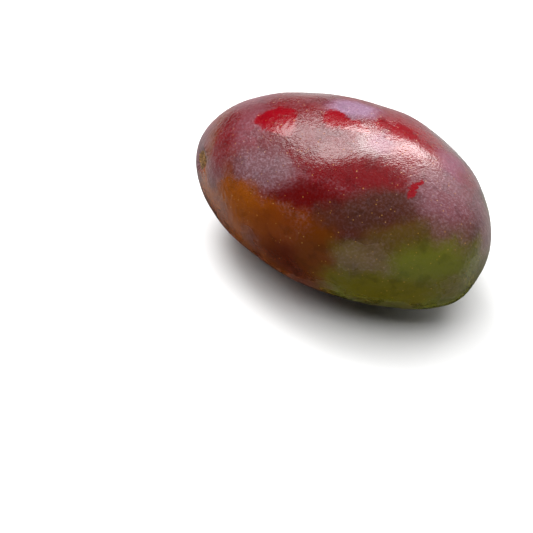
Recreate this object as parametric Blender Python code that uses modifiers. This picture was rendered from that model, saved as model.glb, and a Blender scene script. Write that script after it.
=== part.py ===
# A whole ripe mango, lying on its flatter cheek, with the dried stub of its stalk.
# Units are metres. +X runs from the stalk end to the apex, +Z is up, and the
# belly of the fruit, on which its nose swells, faces -Y.

from math import radians

import bmesh
import bpy
import numpy as np
from mathutils import Matrix, Vector

# Driving dimensions of the fruit
LENGTH = 0.130
WIDTH = 0.084
THICKNESS = 0.074

# How the fruit differs from a true ellipsoid, as shares of its half width or half thickness
APEX_FULLNESS = 0.06
END_TAPER = 0.10
CHEEK_APEX_FULLNESS = 0.02
CHEEK_BLUNTNESS = 0.08

# How the fruit is drawn out of true
BACK_SWELL = 0.002
APEX_TURN = 0.002
HOOK = 0.004
SECTION_LEAN = 0.002

# The swelling on the belly side of the apex
NOSE_HEIGHT = 0.003
NOSE_DIRECTION = (0.82, -0.30, -0.40)
NOSE_SPREAD = 0.31

# The hollow that the stalk grew from
STEM_DIRECTION = (-0.868, -0.448, 0.214)
HOLLOW_DEPTH = 0.0022
HOLLOW_SPREAD = 0.14

# The flat spot that the fruit rests on is this far above its lowest point
REST_DEPTH = 0.0005

# The dried stub of the stalk: a low woody crater that stands in a socket of the fruit
STUB_FOOT_RADIUS = 0.0036
STUB_COLLAR_RADIUS = 0.0044
STUB_CREST_RADIUS = 0.0029
STUB_PIT_RADIUS = 0.0015
STUB_SINK = 0.0020
STUB_COLLAR_HEIGHT = 0.0008
STUB_CREST_HEIGHT = 0.0020
STUB_PIT_HEIGHT = 0.0008
STUB_SIDES = 32
SOCKET_GAP = 0.0003

# Fineness of the faceted fruit
SKIN_SEGMENTS = 56
SKIN_RINGS = 40

CUTTER_MARGIN = 0.01
SMOOTH_ANGLE = radians(40)


def clear_scene():
    for thing in list(bpy.data.objects):
        bpy.data.objects.remove(thing, do_unlink=True)


def new_collection(name):
    collection = bpy.data.collections.new(name)
    bpy.context.scene.collection.children.link(collection)
    return collection


def plain_material(name, color, roughness):
    material = bpy.data.materials.new(name)
    material.use_nodes = True
    shader = material.node_tree.nodes["Principled BSDF"]
    shader.inputs["Base Color"].default_value = (*color, 1.0)
    shader.inputs["Roughness"].default_value = roughness
    shader.inputs["Metallic"].default_value = 0.0
    return material


def unit(vector):
    vector = np.asarray(vector, dtype=float)
    return vector / np.linalg.norm(vector)


def near(directions, centre, spread):
    """A bell that is 1 in the direction of its centre and fades to 0 around it."""
    distance = np.linalg.norm(directions - unit(centre), axis=-1)
    return np.exp(-(distance / spread) ** 2)


def fruit_points(directions):
    """The skin without its stalk hollow, for unit directions from the fruit's middle.

    The unit sphere is stretched to the fruit's length, width and thickness. Its width
    and thickness then change along the fruit, its ends hook towards the belly, its back
    swells, and its nose rises outwards.
    """
    along, across, up = np.moveaxis(directions, -1, 0)
    half_width = WIDTH / 2 * (1 + APEX_FULLNESS * along - END_TAPER * along**2)
    half_thickness = THICKNESS / 2 * (1 + CHEEK_APEX_FULLNESS * along + CHEEK_BLUNTNESS * along**2)
    x = LENGTH / 2 * along - SECTION_LEAN * across
    y = half_width * across + BACK_SWELL * across**2 * along + APEX_TURN * along - HOOK * along**2
    z = half_thickness * up
    nose = NOSE_HEIGHT * near(directions, NOSE_DIRECTION, NOSE_SPREAD)
    return np.stack([x, y, z], axis=-1) + nose[..., None] * directions


def stem_axis():
    """The outward normal of the skin where the stalk grew, from two short steps beside it."""
    step = 0.01
    centre = unit(STEM_DIRECTION)
    side = unit(np.cross(centre, (0, 0, 1)))
    rise = np.cross(side, centre)
    ring = [unit(centre + step * turn) for turn in (side, rise, -side, -rise)]
    right, top, left, bottom = fruit_points(np.array(ring))
    normal = unit(np.cross(right - left, top - bottom))
    return normal * np.sign(normal @ centre)


def skin_points(directions):
    """The skin with the shallow hollow pressed in where the stalk grew."""
    hollow = HOLLOW_DEPTH * near(directions, STEM_DIRECTION, HOLLOW_SPREAD)
    return fruit_points(directions) - hollow[..., None] * stem_axis()


def sphere_along_x():
    """A unit sphere whose poles are the stalk end and the apex."""
    ball = bmesh.new()
    bmesh.ops.create_uvsphere(ball, u_segments=SKIN_SEGMENTS, v_segments=SKIN_RINGS, radius=1.0)
    bmesh.ops.rotate(ball, verts=ball.verts, matrix=Matrix.Rotation(radians(90), 3, "Y"))
    return ball


def object_from(shape, name, collection, material=None):
    mesh = bpy.data.meshes.new(name)
    shape.to_mesh(mesh)
    shape.free()
    if material:
        mesh.materials.append(material)
        mesh.shade_smooth()
        mesh.set_sharp_from_angle(angle=SMOOTH_ANGLE)
    piece = bpy.data.objects.new(name, mesh)
    collection.objects.link(piece)
    return piece


def cut(piece, cutter):
    cutter.hide_render = True
    cutter.display_type = "WIRE"
    boolean = piece.modifiers.new("cut by " + cutter.name, "BOOLEAN")
    boolean.operation = "DIFFERENCE"
    boolean.solver = "EXACT"
    boolean.object = cutter


def make_fruit(collection, material):
    """The fruit, and the shift that sets it down with the origin under the middle of its box."""
    ball = sphere_along_x()
    directions = np.array([vertex.co for vertex in ball.verts])
    points = skin_points(directions / np.linalg.norm(directions, axis=1)[:, None])
    low, high = points.min(axis=0), points.max(axis=0)
    shift = -(low + high) / 2
    shift[2] = -(low[2] + REST_DEPTH)
    for vertex, point in zip(ball.verts, points + shift):
        vertex.co = point
    return object_from(ball, "mango_fruit", collection, material), shift


def make_rest_cutter(collection):
    """A block whose top is the surface that the fruit lies on."""
    block = bmesh.new()
    bmesh.ops.create_cube(block, size=1.0)
    size = Vector((LENGTH, WIDTH, CUTTER_MARGIN))
    bmesh.ops.scale(block, vec=size, verts=block.verts)
    bmesh.ops.translate(block, vec=(0, 0, -CUTTER_MARGIN / 2), verts=block.verts)
    return object_from(block, "rest_cutter", collection)


def stem_frame(shift):
    """The place and the turn that set a piece's +Z along the stalk, out of the hollow's floor."""
    centre = unit(STEM_DIRECTION)
    floor = skin_points(centre[None, :])[0] + shift
    turn = Vector((0, 0, 1)).rotation_difference(Vector(stem_axis()))
    return Matrix.Translation(Vector(floor)) @ turn.to_matrix().to_4x4()


def make_socket_cutter(collection, place):
    """A tapered plug, wider all round than the stub's root by the gap."""
    plug = bmesh.new()
    slope = (STUB_COLLAR_RADIUS - STUB_FOOT_RADIUS) / (STUB_SINK + STUB_COLLAR_HEIGHT)
    depth = STUB_SINK + SOCKET_GAP
    height = depth + CUTTER_MARGIN
    foot_radius = STUB_FOOT_RADIUS + SOCKET_GAP * (1 - slope)
    bmesh.ops.create_cone(
        plug,
        cap_ends=True,
        segments=STUB_SIDES,
        radius1=foot_radius,
        radius2=foot_radius + slope * height,
        depth=height,
        matrix=Matrix.Translation((0, 0, height / 2 - depth)),
    )
    cutter = object_from(plug, "stem_socket_cutter", collection)
    cutter.matrix_world = place
    return cutter


def make_stem_stub(collection, material, place):
    """A turned crater: its root tapers down into the fruit, and its crest rings a dry pit."""
    profile = [
        (0.0, STUB_PIT_HEIGHT),
        (STUB_PIT_RADIUS, STUB_PIT_HEIGHT),
        (STUB_CREST_RADIUS, STUB_CREST_HEIGHT),
        (STUB_COLLAR_RADIUS, STUB_COLLAR_HEIGHT),
        (STUB_FOOT_RADIUS, -STUB_SINK),
        (0.0, -STUB_SINK),
    ]
    line = bmesh.new()
    corners = [line.verts.new((radius, 0, height)) for radius, height in profile]
    for start, end in zip(corners, corners[1:]):
        line.edges.new((start, end))
    stub = object_from(line, "stem_stub", collection, material)
    stub.matrix_world = place
    turned = stub.modifiers.new("turned round the stalk's axis", "SCREW")
    turned.steps = STUB_SIDES
    turned.render_steps = STUB_SIDES
    turned.use_merge_vertices = True
    turned.merge_threshold = 0.00005
    return stub


def main():
    clear_scene()
    mango = new_collection("mango")
    cutters = new_collection("cutters")
    skin = plain_material("mango_skin", (0.22, 0.03, 0.035), 0.35)
    wood = plain_material("stem_wood", (0.13, 0.085, 0.03), 0.8)

    fruit, shift = make_fruit(mango, skin)
    place = stem_frame(shift)
    cut(fruit, make_rest_cutter(cutters))
    cut(fruit, make_socket_cutter(cutters, place))
    make_stem_stub(mango, wood, place)


main()
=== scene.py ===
from math import pi, radians

import bpy
import numpy as np
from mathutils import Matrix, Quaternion, Vector


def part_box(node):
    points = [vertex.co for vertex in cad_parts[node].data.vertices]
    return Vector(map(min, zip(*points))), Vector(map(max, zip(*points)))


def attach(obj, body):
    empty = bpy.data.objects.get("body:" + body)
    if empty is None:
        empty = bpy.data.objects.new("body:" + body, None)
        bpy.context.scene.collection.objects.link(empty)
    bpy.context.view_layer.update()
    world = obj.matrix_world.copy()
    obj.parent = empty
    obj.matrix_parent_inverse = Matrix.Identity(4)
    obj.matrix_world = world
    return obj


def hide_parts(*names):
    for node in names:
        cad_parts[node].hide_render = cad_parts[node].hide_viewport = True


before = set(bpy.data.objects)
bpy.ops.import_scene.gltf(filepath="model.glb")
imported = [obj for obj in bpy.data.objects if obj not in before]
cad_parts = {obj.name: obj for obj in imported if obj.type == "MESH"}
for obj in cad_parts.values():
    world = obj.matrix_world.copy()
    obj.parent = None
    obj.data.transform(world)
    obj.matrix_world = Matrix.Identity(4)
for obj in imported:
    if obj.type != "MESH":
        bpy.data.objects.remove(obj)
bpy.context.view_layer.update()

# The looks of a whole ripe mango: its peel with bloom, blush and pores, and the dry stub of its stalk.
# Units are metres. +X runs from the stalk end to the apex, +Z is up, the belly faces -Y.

MM = 0.001

# The fruit, as it was designed
LENGTH = 0.130
WIDTH = 0.084
THICKNESS = 0.074
APEX_FULLNESS = 0.06
END_TAPER = 0.10
CHEEK_APEX_FULLNESS = 0.02
CHEEK_BLUNTNESS = 0.08
BACK_SWELL = 0.002
APEX_TURN = 0.002
HOOK = 0.004
SECTION_LEAN = 0.002
NOSE_HEIGHT = 0.003
NOSE_DIRECTION = (0.82, -0.30, -0.40)
NOSE_SPREAD = 0.31
STEM_DIRECTION = (-0.868, -0.448, 0.214)
HOLLOW_DEPTH = 0.0022
HOLLOW_SPREAD = 0.14
REST_DEPTH = 0.0005

# The grid of the peel: its lines run from the stalk to the opposite end
PEEL_RINGS = 296
PEEL_LINES = 332
STALK_CROWDING = 0.35

# The relief of the peel
SEED = 11
SWELL_LENGTHS = (0.016, 0.034)
SWELL_HEIGHT = 0.00016
PEBBLE_LENGTHS = (0.0019, 0.0034)
PEBBLE_HEIGHT = 0.000022
LIP_ANGLE = 0.15
LIP_SPREAD = 0.045
LIP_HEIGHT = 0.0004
WRINKLE_ANGLE = 0.13
WRINKLE_SPREAD = 0.05
WRINKLE_COUNT = 19
WRINKLE_HEIGHT = 0.00012

# The dry stub of the stalk, as it was designed, and the relief of its wood
STUB_FOOT_RADIUS = 0.0036
STUB_COLLAR_RADIUS = 0.0044
STUB_CREST_RADIUS = 0.0029
STUB_PIT_RADIUS = 0.0015
STUB_SINK = 0.0020
STUB_COLLAR_HEIGHT = 0.0008
STUB_CREST_HEIGHT = 0.0020
STUB_PIT_HEIGHT = 0.0008
STUB_RINGS = 72
STUB_LINES = 96
STUB_RIDGE_TURN = radians(62)
STUB_RIDGE_WIDTH = 0.0005
STUB_RIDGE_HEIGHT = 0.0010
STUB_GRAIN_LENGTHS = (0.0007, 0.0018)
STUB_GRAIN_HEIGHT = 0.00009

# Colours of the peel, as a screen shows them; one of them is partly painted shade
CRIMSON = (118, 1, 14)
DEEP_RED = (95, 3, 8)
DULL_RED = (105, 28, 44)
BURGUNDY = (84, 18, 22)
MAROON_RED = (76, 5, 5)
RUST = (100, 42, 3)
OCHRE = (122, 60, 1)
# Partly the peel's own maroon, partly painted shade for the lower belly where shade fell
MAROON_AND_PAINTED_SHADE = (61, 8, 2)
ORANGE_BROWN = (88, 40, 2)
DIM_BROWN = (60, 32, 22)
WARM_BROWN = (90, 62, 46)
OLIVE = (90, 92, 26)
DIM_OLIVE = (75, 58, 21)
GOLDEN_OLIVE = (86, 78, 4)
PINK_BROWN = (96, 75, 44)
GREY_ROSE = (94, 57, 62)
PALE_ROSE = (103, 48, 57)
MAUVE = (102, 58, 65)
PLUM = (106, 36, 62)
LILAC = (114, 78, 104)
BLOOM_TINT = (178, 152, 166)
PORE_TINT = (205, 150, 70)

# Soft patches: middle (mm), reach along and across (mm), turn (degrees), colour, cover, bloom
PATCHES = [
    ((-19, -4, 72), (20, 9), 25, DEEP_RED, 0.9, 0.3),
    ((13, -17, 70), (25, 8), 12, DEEP_RED, 0.95, 0.05),
    ((0, -31, 61), (19, 5), 19, MAROON_RED, 0.95, 0.05),
    ((22, 10, 71), (15, 14), 0, CRIMSON, 0.8, 0.2),
    ((-36, -12, 65), (8, 11), 25, PALE_ROSE, 0.75, 0.7),
    ((-21, -28, 62), (15, 7), 10, GREY_ROSE, 0.95, 0.9),
    ((-44, -29, 49), (7, 6), -17, GREY_ROSE, 0.8, 0.8),
    ((-44, -23, 57), (5, 9), 0, DEEP_RED, 0.9, 0.3),
    ((-26, -37, 47), (20, 8), 0, OCHRE, 0.95, 0.0),
    ((-6, -40, 46), (14, 9), 8, RUST, 0.8, 0.0),
    # Partly painted shade: this patch darkens the lower belly where shade fell on it
    ((0, -42, 34), (14, 9), 8, MAROON_AND_PAINTED_SHADE, 0.8, 0.0),
    ((11, -40, 44), (9, 13), 0, ORANGE_BROWN, 0.95, 0.0),
    ((18, -31, 59), (15, 5), 23, DIM_BROWN, 0.8, 0.15),
    ((31, -22, 63), (18, 7), 31, DIM_BROWN, 0.9, 0.2),
    ((44, -24, 55), (20, 7), 36, DIM_OLIVE, 0.9, 0.1),
    ((56, -14, 53), (8, 9), 48, WARM_BROWN, 0.8, 0.5),
    ((51, -24, 46), (17, 8), 42, OLIVE, 0.95, 0.05),
    ((29, -36, 45), (11, 7), 25, PINK_BROWN, 0.9, 0.5),
    ((39, -34, 33), (24, 8), 24, GOLDEN_OLIVE, 0.9, 0.0),
    ((47, -5, 63), (12, 12), 19, MAUVE, 0.85, 0.7),
    ((42, 12, 63), (8, 8), -7, PLUM, 0.9, 0.6),
    ((48, 15, 58), (5, 9), 0, DEEP_RED, 0.8, 0.3),
    ((-4, 12, 72), (10, 7), 17, LILAC, 0.95, 0.9),
    ((-46, 4, 60), (8, 9), 0, MAUVE, 0.8, 0.7),
    ((15, -1, 73), (5, 5), 38, PLUM, 0.7, 0.4),
    ((-59, -16, 42), (8, 14), 0, GREY_ROSE, 0.9, 0.8),
    ((-60, 4, 44), (8, 14), 0, DULL_RED, 0.9, 0.6),
    ((60, 4, 48), (7, 11), 60, MAUVE, 0.8, 0.6),
]

# Rubbed places, where the bloom is off and the red shines: middle (mm), reach (mm), turn (degrees)
RUBBED = [
    ((-28, -8, 70), (9.5, 6), 14),
    ((-22, -11, 70), (5, 4), 0),
    ((11, 9, 72), (3.5, 3.5), 0),
    ((19, 11, 71), (5, 6.4), 0),
    ((7, 0, 73), (2.3, 1.1), 35),
    ((16, 3, 73), (1.6, 1.7), 0),
    ((-6, 1, 73), (6, 4.9), 0),
    ((1, 1, 74), (6.3, 3.7), 0),
    ((36, -11, 67), (1.2, 4.6), 0),
]

# The camera and the light
LENS = 85
SENSOR = 36
CAMERA_PLACE = (0.1762, -0.3290, 0.3920)
CAMERA_AIM = (-0.0228, -0.0225, 0.0)
CAMERA_TURN = radians(33)
STUDIO_DIM = 0.05
STUDIO_PALE = 0.9
BACKDROP = 0.93
FLOOR_SIZE = 12.0
FLOOR_GAP = 0.0001
# The edges of the bright sheet of painted reflection, beyond which the peel mirrors painted shade: a point right
# of and away from the fruit's middle, the bearing that the sheet lies on, as the camera sees it, and how soft the
# edge is
PAINTED_REFLECTION_EDGES = [((-0.137, 0.007), 21, 0.015), ((0.085, -0.078), -28, 0.004)]
# How bright the painted reflection of the floor glows in the peel
PAINTED_REFLECTION_BRIGHTNESS = 0.9


def unit(vector):
    vector = np.asarray(vector, dtype=float)
    return vector / np.linalg.norm(vector, axis=-1, keepdims=True)


def near(directions, centre, spread):
    """A bell: 1 at its centre, falling off as exp(-(distance / spread)^2)."""
    distance = np.linalg.norm(directions - unit(centre), axis=-1)
    return np.exp(-(distance / spread) ** 2)


def fruit_points(directions):
    """The peel without its hollow, for unit directions (along, across, up) from the fruit's middle.

    x = half length * along - lean * across
    y = half width * across, drawn out by the back's swell, the apex's turn and the hook
    z = half thickness * up
    Half width and half thickness are quadratics of along, and the nose is a bell along the direction.
    """
    along, across, up = np.moveaxis(directions, -1, 0)
    half_width = WIDTH / 2 * (1 + APEX_FULLNESS * along - END_TAPER * along**2)
    half_thickness = THICKNESS / 2 * (1 + CHEEK_APEX_FULLNESS * along + CHEEK_BLUNTNESS * along**2)
    x = LENGTH / 2 * along - SECTION_LEAN * across
    y = half_width * across + BACK_SWELL * across**2 * along + APEX_TURN * along - HOOK * along**2
    z = half_thickness * up
    nose = NOSE_HEIGHT * near(directions, NOSE_DIRECTION, NOSE_SPREAD)
    return np.stack([x, y, z], axis=-1) + nose[..., None] * directions


def stem_axis():
    """The outward normal of the peel where the stalk grew, from two short steps beside it."""
    step = 0.01
    centre = unit(STEM_DIRECTION)
    side = unit(np.cross(centre, (0, 0, 1)))
    rise = np.cross(side, centre)
    ring = [unit(centre + step * turn) for turn in (side, rise, -side, -rise)]
    right, top, left, bottom = fruit_points(np.array(ring))
    normal = unit(np.cross(right - left, top - bottom))
    return normal * np.sign(normal @ centre)


def skin_points(directions):
    """The peel with the shallow hollow of the stalk pressed in along the stalk's axis."""
    hollow = HOLLOW_DEPTH * near(directions, STEM_DIRECTION, HOLLOW_SPREAD)
    return fruit_points(directions) - hollow[..., None] * stem_axis()


def polar_directions(axis, rings, lines, crowding):
    """Unit directions on rings round an axis, with the steps along the rings and down the lines.

    Ring i is at angle pi * ((1 - crowding) * t + crowding * t^2) from the axis, with t = i / last ring.
    """
    axis = unit(axis)
    side = unit(np.cross(axis, (0, 0, 1)))
    rise = np.cross(side, axis)
    t = np.linspace(0, 1, rings)
    angle = pi * ((1 - crowding) * t + crowding * t**2)
    turn = np.linspace(0, 2 * pi, lines, endpoint=False)
    angle, turn = np.meshgrid(angle, turn, indexing="ij")
    outward = np.cos(turn)[..., None] * side + np.sin(turn)[..., None] * rise
    round_the_axis = np.cos(turn)[..., None] * rise - np.sin(turn)[..., None] * side
    directions = np.cos(angle)[..., None] * axis + np.sin(angle)[..., None] * outward
    down = np.cos(angle)[..., None] * outward - np.sin(angle)[..., None] * axis
    return directions, down, round_the_axis, turn


def outward_normals(surface, directions, down, around):
    """Unit normals of a surface over directions: the cross product of central differences."""
    step = 1e-3
    fall = surface(unit(directions + step * down)) - surface(unit(directions - step * down))
    swing = surface(unit(directions + step * around)) - surface(unit(directions - step * around))
    normals = unit(np.cross(fall, swing))
    return normals * np.sign((normals * directions).sum(axis=-1, keepdims=True))


def waves(points, lengths, count, draw):
    """A smooth random relief of unit height: the sum of plane waves in random directions."""
    relief = np.zeros(points.shape[:-1])
    for _ in range(count):
        direction = unit(draw.normal(size=3))
        length = draw.uniform(*lengths)
        relief += np.cos(2 * pi / length * (points @ direction) + draw.uniform(0, 2 * pi))
    return relief * np.sqrt(2 / count)


def closed_mesh(name, points):
    """A closed mesh over a polar grid whose first and last rings are single points."""
    rings, lines = points.shape[:2]
    body = points[1:-1].reshape(-1, 3)
    corners = np.concatenate([points[0, :1], body, points[-1, :1]])
    last = len(corners) - 1
    ring, line = np.meshgrid(np.arange(rings - 3), np.arange(lines), indexing="ij")
    following = (line + 1) % lines
    here = 1 + ring * lines
    quads = np.stack([here + line, here + lines + line, here + lines + following, here + following], axis=-1)
    line = np.arange(lines)
    following = (line + 1) % lines
    base = 1 + (rings - 3) * lines
    first_fan = np.stack([np.zeros(lines, int), 1 + line, 1 + following], axis=-1)
    last_fan = np.stack([np.full(lines, last), base + following, base + line], axis=-1)
    mesh = bpy.data.meshes.new(name)
    faces = first_fan.tolist() + quads.reshape(-1, 4).tolist() + last_fan.tolist()
    mesh.from_pydata(corners.tolist(), [], faces)
    mesh.shade_smooth()
    piece = bpy.data.objects.new(name, mesh)
    bpy.context.scene.collection.objects.link(piece)
    return piece


def set_down():
    """The shift that puts the fruit on the floor with the origin under the middle of its box."""
    directions = polar_directions((1, 0, 0), 161, 240, 0)[0]
    points = skin_points(directions).reshape(-1, 3)
    low, high = points.min(axis=0), points.max(axis=0)
    shift = -(low + high) / 2
    shift[2] = -(low[2] + REST_DEPTH)
    return shift


def fit_to(points, low, high):
    """Stretches points, by a hair, so that they fill the box from low to high."""
    low, high = np.array(low), np.array(high)
    start, end = points.reshape(-1, 3).min(axis=0), points.reshape(-1, 3).max(axis=0)
    return low + (points - start) / (end - start) * (high - low)


def ring_bell(angle, middle, spread):
    return np.exp(-(((angle - middle) / spread) ** 2))


def make_peel():
    """The fruit's peel: the designed surface, raised along its normals.

    The relief is long swells, a fine pebble, a lip round the stalk's hollow, a bell of the angle from
    the stalk, and wrinkles that run out of the hollow, cosines of the turn round the stalk.
    """
    draw = np.random.default_rng(SEED)
    directions, down, around, turn = polar_directions(STEM_DIRECTION, PEEL_RINGS, PEEL_LINES, STALK_CROWDING)
    points = skin_points(directions)
    normals = outward_normals(skin_points, directions, down, around)
    relief = SWELL_HEIGHT * waves(points, SWELL_LENGTHS, 40, draw)
    relief += PEBBLE_HEIGHT * waves(points, PEBBLE_LENGTHS, 90, draw)
    angle = np.arccos(np.clip(directions @ unit(STEM_DIRECTION), -1, 1))
    uneven = 1 + 0.5 * waves(directions, (0.15, 0.4), 12, draw)
    relief += LIP_HEIGHT * ring_bell(angle, LIP_ANGLE, LIP_SPREAD) * uneven
    bend = 1.2 * waves(directions, (0.1, 0.3), 12, draw)
    wrinkles = np.cos(WRINKLE_COUNT * turn + bend) * uneven
    relief += WRINKLE_HEIGHT * ring_bell(angle, WRINKLE_ANGLE, WRINKLE_SPREAD) * wrinkles
    points = points + relief[..., None] * normals + set_down()
    points[..., 2] = np.maximum(points[..., 2], 0)
    return closed_mesh("peel", fit_to(points, *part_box("mango_fruit")))


def stub_profile(t):
    """Radius and height of the turned stub at t, from its pit's middle, 0, to its root's middle, 1."""
    steps = (0, 0.18, 0.45, 0.68, 0.90, 1)
    radii = (0, STUB_PIT_RADIUS, STUB_CREST_RADIUS, STUB_COLLAR_RADIUS, STUB_FOOT_RADIUS, 0)
    top = (STUB_PIT_HEIGHT, STUB_PIT_HEIGHT, STUB_CREST_HEIGHT)
    heights = (*top, STUB_COLLAR_HEIGHT, -STUB_SINK, -STUB_SINK)
    return np.interp(t, steps, radii), np.interp(t, steps, heights)


def make_stub():
    """The stub: its profile turned round the stalk's axis, with a ridge across its pit and woody grain.

    The profile's corners are rounded by averaging it over short steps. The ridge is a bell of the
    distance from a line through the axis, and the grain is a sum of plane waves, both inside the crest.
    """
    draw = np.random.default_rng(SEED)
    axis = stem_axis()
    side = unit(np.cross(axis, (0, 0, 1)))
    rise = np.cross(side, axis)
    t = np.linspace(0, 1, STUB_RINGS)
    rounded = [stub_profile(np.clip(t + step, 0, 1)) for step in (-0.05, -0.02, 0, 0.02, 0.05)]
    radius, height = np.mean(rounded, axis=0)
    radius[0] = radius[-1] = 0
    turn = np.linspace(0, 2 * pi, STUB_LINES, endpoint=False)
    right = radius[:, None] * np.cos(turn)
    up = radius[:, None] * np.sin(turn)
    height = height[:, None] + 0 * right
    inside = np.clip(1.3 - radius / STUB_CREST_RADIUS, 0, 1)[:, None]
    above = np.clip(1 + height / STUB_SINK, 0, 1)
    off_the_ridge = right * np.sin(STUB_RIDGE_TURN) - up * np.cos(STUB_RIDGE_TURN)
    height = height + inside * STUB_RIDGE_HEIGHT * np.exp(-((off_the_ridge / STUB_RIDGE_WIDTH) ** 2))
    flat = np.stack([right, up, height], axis=-1)
    grain = STUB_GRAIN_HEIGHT * waves(flat, STUB_GRAIN_LENGTHS, 60, draw)
    uneven = 2.2 * STUB_GRAIN_HEIGHT * waves(flat, (0.004, 0.007), 20, draw)
    height = height + above * (grain + uneven)
    height[0], height[-1] = height[0, 0], height[-1, 0]
    foot = skin_points(unit(STEM_DIRECTION)[None, :])[0] + set_down()
    points = foot + right[..., None] * side + up[..., None] * rise + height[..., None] * axis
    return closed_mesh("stalk_stub", fit_to(points, *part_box("stem_stub")))


def make_camera():
    data = bpy.data.cameras.new("camera")
    data.lens = LENS
    data.sensor_width = SENSOR
    camera = bpy.data.objects.new("camera", data)
    bpy.context.scene.collection.objects.link(camera)
    camera.location = CAMERA_PLACE
    look = Vector(CAMERA_AIM) - Vector(CAMERA_PLACE)
    camera.rotation_euler = look.to_track_quat("-Z", "Y").to_euler()
    bpy.context.scene.camera = camera


def from_camera_side(azimuth, elevation):
    """A unit direction: azimuth 0 points away from the camera and 90 to its right, in degrees."""
    turn, rise = radians(azimuth), radians(elevation)
    right = np.array([np.cos(CAMERA_TURN), np.sin(CAMERA_TURN), 0])
    away = np.array([-np.sin(CAMERA_TURN), np.cos(CAMERA_TURN), 0])
    level = np.sin(turn) * right + np.cos(turn) * away
    return Vector(np.cos(rise) * level + np.sin(rise) * np.array([0, 0, 1]))


def make_softbox(name, azimuth, elevation, distance, width, height, brightness, lean=0):
    """A soft lamp that faces the fruit, its top leaning left; its power is from its brightness and size."""
    data = bpy.data.lights.new(name, "AREA")
    data.shape = "RECTANGLE"
    data.size = width
    data.size_y = height
    data.energy = brightness * pi * width * height
    lamp = bpy.data.objects.new(name, data)
    bpy.context.scene.collection.objects.link(lamp)
    direction = from_camera_side(azimuth, elevation)
    lamp.location = distance * direction
    leaning = Quaternion((0, 0, 1), -radians(lean))
    lamp.rotation_euler = (direction.to_track_quat("Z", "Y") @ leaning).to_euler()
    return lamp


class Recipe:
    """The nodes of a finish: each call adds one node and gives back the socket that it makes."""

    def __init__(self, tree):
        self.nodes, self.links = tree.nodes, tree.links

    def feed(self, socket, value):
        if isinstance(value, bpy.types.NodeSocket):
            self.links.new(value, socket)
        elif socket.type == "RGBA":
            socket.default_value = (*value, 1)
        else:
            socket.default_value = value

    def add(self, kind, output, inputs, **settings):
        node = self.nodes.new("ShaderNode" + kind)
        for name, value in settings.items():
            setattr(node, name, value)
        for name, value in inputs.items():
            self.feed(node.inputs[name], value)
        return node.outputs[output]

    def place(self, output="Object"):
        return self.add("TexCoord", output, {})

    def ray(self, kind):
        return self.add("LightPath", kind, {})

    def math(self, operation, *inputs):
        return self.add("Math", 0, dict(enumerate(inputs)), operation=operation)

    def vector(self, operation, *inputs, output="Vector"):
        return self.add("VectorMath", output, dict(enumerate(inputs)), operation=operation)

    def fade(self, value, start, end, low=0.0, high=1.0):
        """Low where the value is at start, high where it is at end, and smooth between them."""
        reach = {"From Min": start, "From Max": end, "To Min": low, "To Max": high}
        return self.add("MapRange", 0, {"Value": value, **reach}, interpolation_type="SMOOTHSTEP")

    def blend(self, amount, below, above, way="MIX"):
        return self.add("Mix", 2, {0: amount, 6: below, 7: above}, data_type="RGBA", blend_type=way)

    def between(self, amount, below, above):
        return self.add("Mix", 0, {0: amount, 2: below, 3: above})

    def noise(self, place, size, detail=2.0, output="Fac"):
        inputs = {"Vector": place, "Scale": 1 / size, "Detail": detail}
        return self.add("TexNoise", output, inputs)

    def wander(self, place, size, reach):
        """The place, moved by up to about the reach, in a noise of the given size."""
        push = self.vector("SUBTRACT", self.noise(place, size, 2, "Color"), (0.5, 0.5, 0.5))
        return self.vector("MULTIPLY_ADD", push, (4 * reach, 4 * reach, 4 * reach), place)

    def turned(self, place, centre, turn, scale):
        """The place as seen from a centre, turned about Z and in units of the scale."""
        inputs = {"Vector": place, "Location": centre, "Rotation": (0, 0, turn), "Scale": scale}
        return self.add("Mapping", 0, inputs, vector_type="TEXTURE")

    def oval(self, place, centre, reach, turn, softness):
        """1 inside an oval patch and 0 outside it; centre and reach are in mm, the turn in degrees."""
        along, across = reach
        scale = (along * MM, across * MM, across * MM)
        spot = self.turned(place, Vector(centre) * MM, radians(turn), scale)
        return self.fade(self.vector("LENGTH", spot, output="Value"), 1 + softness, 1 - softness)

    def dots(self, place, spacing, radius, share):
        """1 in round dots about a spacing apart, in a share of the places, each of its own size."""
        distance = self.add("TexVoronoi", "Distance", {"Vector": place, "Scale": 1 / spacing})
        chance = self.add("SeparateColor", 0, {0: distance.node.outputs["Color"]})
        size = self.fade(chance, 1 - share, 1, 0.25 * radius / spacing, radius / spacing)
        dot = self.fade(distance, self.math("MULTIPLY", size, 1.5), self.math("MULTIPLY", size, 0.6))
        return self.math("MULTIPLY", dot, self.math("GREATER_THAN", chance, 1 - share))


def make_world():
    """A studio whose light is pale near the horizon behind the fruit and dim overhead and in front."""
    world = bpy.data.worlds.new("studio")
    world.use_nodes = True
    sky = Recipe(world.node_tree)
    direction = sky.place("Generated")
    height = sky.vector("DOT_PRODUCT", direction, (0, 0, 1), output="Value")
    depth = sky.vector("DOT_PRODUCT", direction, from_camera_side(0, 0), output="Value")
    pale = sky.math("MULTIPLY", sky.fade(height, 0.30, 0.05), sky.fade(depth, -0.10, 0.25, 0.05, 1))
    glow = sky.math("MULTIPLY_ADD", pale, STUDIO_PALE)
    sky.feed(glow.node.inputs[2], STUDIO_DIM)
    seen = sky.ray("Is Camera Ray")
    strength = sky.add("Mix", 0, {0: seen, 2: glow, 3: BACKDROP})
    sky.feed(sky.nodes["Background"].inputs["Strength"], strength)
    bpy.context.scene.world = world


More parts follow.
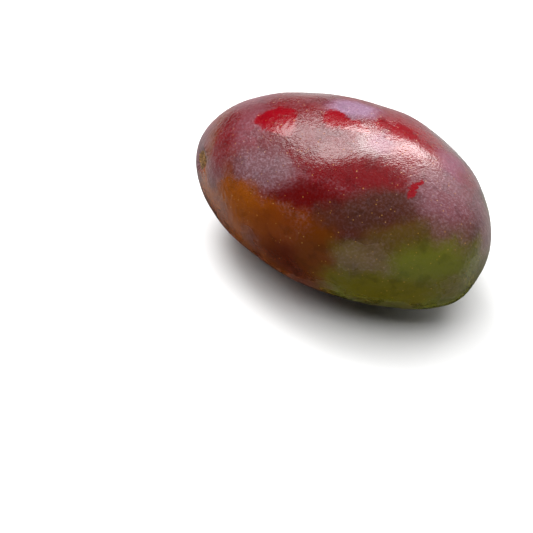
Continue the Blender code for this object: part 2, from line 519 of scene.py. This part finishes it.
def make_floor():
    """A pale floor. Mirrored in the peel it is a painted reflection: a bright sheet that glows, with painted
    shade in front of two edges and a painted shadow under the fruit.
    """
    half = FLOOR_SIZE / 2
    corners = [(-half, -half), (half, -half), (half, half), (-half, half)]
    mesh = bpy.data.meshes.new("floor")
    mesh.from_pydata([(x, y, -FLOOR_GAP) for x, y in corners], [], [(0, 1, 2, 3)])
    floor = bpy.data.objects.new("floor", mesh)
    bpy.context.scene.collection.objects.link(floor)
    material = bpy.data.materials.new("floor_painted_reflection")
    material.use_nodes = True
    finish = Recipe(material.node_tree)
    shader = finish.nodes["Principled BSDF"]
    finish.feed(shader.inputs["Base Color"], (0.8, 0.8, 0.8))
    finish.feed(shader.inputs["Roughness"], 0.9)
    finish.feed(shader.inputs["Specular IOR Level"], 0.1)
    place = finish.place()
    pale = 1.0
    # Painted shade in the reflection: the sheet goes dark beyond each edge
    for corner, bearing, softness in PAINTED_REFLECTION_EDGES:
        right, away = corner
        start = right * from_camera_side(90, 0) + away * from_camera_side(0, 0)
        from_corner = finish.vector("SUBTRACT", place, start)
        beyond = finish.vector("DOT_PRODUCT", from_corner, from_camera_side(bearing, 0), output="Value")
        pale = finish.math("MULTIPLY", finish.fade(beyond, -softness, softness), pale)
    # Painted shadow in the reflection: the mirrored floor is dark under and round the fruit
    oval = finish.vector("DIVIDE", place, (0.5 * LENGTH, 0.5 * WIDTH, 1))
    reach = finish.vector("LENGTH", oval, output="Value")
    pale = finish.math("MULTIPLY", pale, finish.fade(reach, 1.0, 2.1, 0, PAINTED_REFLECTION_BRIGHTNESS))
    # The floor glows only in glossy rays: a painted reflection, though it is no lamp
    glow = finish.add("Emission", 0, {"Strength": pale})
    inputs = {0: finish.ray("Is Glossy Ray"), 1: shader.outputs["BSDF"], 2: glow}
    surface = finish.add("MixShader", 0, inputs)
    finish.feed(finish.nodes["Material Output"].inputs["Surface"], surface)
    mesh.materials.append(material)


def tint(colour):
    """A colour of the screen, 0 to 255, as the light that it stands for."""
    share = np.array(colour) / 255
    return tuple(np.where(share <= 0.04045, share / 12.92, ((share + 0.055) / 1.055) ** 2.4))


def new_finish(name):
    material = bpy.data.materials.new(name)
    material.use_nodes = True
    finish = Recipe(material.node_tree)
    return material, finish, finish.nodes["Principled BSDF"]


def ground_colour(finish, place):
    """The peel's own colours by height: green or ochre ground, brown where it turns, red blush above."""
    height = finish.add("SeparateXYZ", "Z", {0: place})
    along = height.node.outputs["X"]
    green = finish.blend(finish.fade(finish.noise(place, 18 * MM), 0.4, 0.65), tint(OLIVE), tint(GOLDEN_OLIVE))
    warm = finish.blend(finish.fade(finish.noise(place, 14 * MM), 0.35, 0.65), tint(OCHRE), tint(RUST))
    ground = finish.blend(finish.fade(along, 22 * MM, 4 * MM), green, warm)
    turning = finish.blend(finish.fade(along, 25 * MM, 0 * MM), tint(DIM_BROWN), tint(RUST))
    red = finish.blend(finish.fade(finish.noise(place, 12 * MM), 0.35, 0.65), tint(DEEP_RED), tint(BURGUNDY))
    sway = finish.math("MULTIPLY_ADD", finish.noise(place, 22 * MM), 16 * MM, height)
    colour = finish.blend(finish.fade(sway, 54 * MM, 62 * MM), ground, turning)
    return finish.blend(finish.fade(sway, 60 * MM, 70 * MM), colour, red)


def make_skin_finish():
    """Blush over ground, soft patches, one of them partly painted shade low on the belly, and rubbed places,
    mottled by bloom and dotted with pores.
    """
    material, finish, shader = new_finish("peel")
    place = finish.place()
    drift = finish.wander(finish.wander(place, 9 * MM, 2.2 * MM), 2.2 * MM, 0.5 * MM)
    shiver = finish.wander(finish.wander(place, 4.5 * MM, 1.6 * MM), 1.2 * MM, 0.45 * MM)
    colour = ground_colour(finish, drift)
    bloom = finish.fade(finish.noise(drift, 16 * MM), 0.35, 0.65, 0.1, 0.7)
    for centre, reach, turn, shade, cover, bloom_there in PATCHES:
        inside = finish.oval(drift, centre, reach, turn, 0.5)
        inside = finish.math("MULTIPLY", inside, cover)
        colour = finish.blend(inside, colour, tint(shade))
        bloom = finish.between(inside, bloom, bloom_there)
    for centre, reach, turn in RUBBED:
        inside = finish.oval(shiver, centre, reach, turn, 0.2)
        colour = finish.blend(inside, colour, tint(CRIMSON))
        bloom = finish.between(inside, bloom, 0.0)
    mottle = finish.noise(place, 1.0 * MM, 2)
    powder = finish.math("MULTIPLY", finish.fade(mottle, 0.4, 0.75, 0, 0.25), bloom)
    colour = finish.blend(powder, colour, tint(BLOOM_TINT))
    clouds = finish.noise(shiver, 5 * MM, 4)
    colour = finish.blend(finish.fade(clouds, 0.5, 0.3, 0, 0.3), colour, (0.3, 0.3, 0.3), "MULTIPLY")
    pores = finish.dots(place, 1.8 * MM, 0.26 * MM, 0.8)
    colour = finish.blend(finish.math("MULTIPLY", pores, 0.32), colour, tint(PORE_TINT))
    finish.feed(shader.inputs["Base Color"], colour)
    rough = finish.math("MULTIPLY_ADD", finish.fade(bloom, 0, 1), 0.27, 0.2)
    finish.feed(shader.inputs["Roughness"], rough)
    pebble = finish.noise(finish.turned(place, (0, 0, 0), 0.4, (1.35, 1, 1)), 0.65 * MM, 1)
    relief = finish.math("MULTIPLY_ADD", pores, -0.35, pebble)
    strength = finish.fade(bloom, 0, 0.3, 0.5, 1)
    bump = finish.add("Bump", "Normal", {"Height": relief, "Distance": 0.13 * MM, "Strength": strength})
    finish.feed(shader.inputs["Normal"], bump)
    return material


def make_wood_finish():
    """Dry wood: two browns mottled by a fine noise, which also gives its bump."""
    material, finish, shader = new_finish("stalk_wood")
    place = finish.place()
    grain = finish.noise(place, 0.5 * MM, 4)
    colour = finish.blend(finish.fade(grain, 0.3, 0.7), tint((70, 46, 22)), tint((150, 112, 66)))
    finish.feed(shader.inputs["Base Color"], colour)
    finish.feed(shader.inputs["Roughness"], 0.75)
    bump = finish.add("Bump", "Normal", {"Height": grain, "Distance": 0.12 * MM, "Strength": 1.0})
    finish.feed(shader.inputs["Normal"], bump)
    return material


bpy.context.scene.view_settings.view_transform = "Standard"
make_camera()
make_world()
make_softbox("main_softbox", 25, 47, 1.0, 0.32, 0.69, 16, lean=45).visible_diffuse = False
make_softbox("upper_left_softbox", -30, 60, 1.0, 0.5, 0.42, 9)
make_softbox("right_softbox", 56, 26, 1.0, 0.75, 0.8, 1.5)
make_softbox("left_softbox", -80, 32, 1.0, 0.54, 0.6, 1)
make_softbox("overhead_softbox", 0, 88, 1.2, 1.4, 1.4, 5).visible_glossy = False
make_floor()
peel = make_peel()
peel.data.materials.append(make_skin_finish())
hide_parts("mango_fruit")
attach(peel, "root")
stub = make_stub()
stub.data.materials.append(make_wood_finish())
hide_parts("stem_stub")
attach(stub, "root")
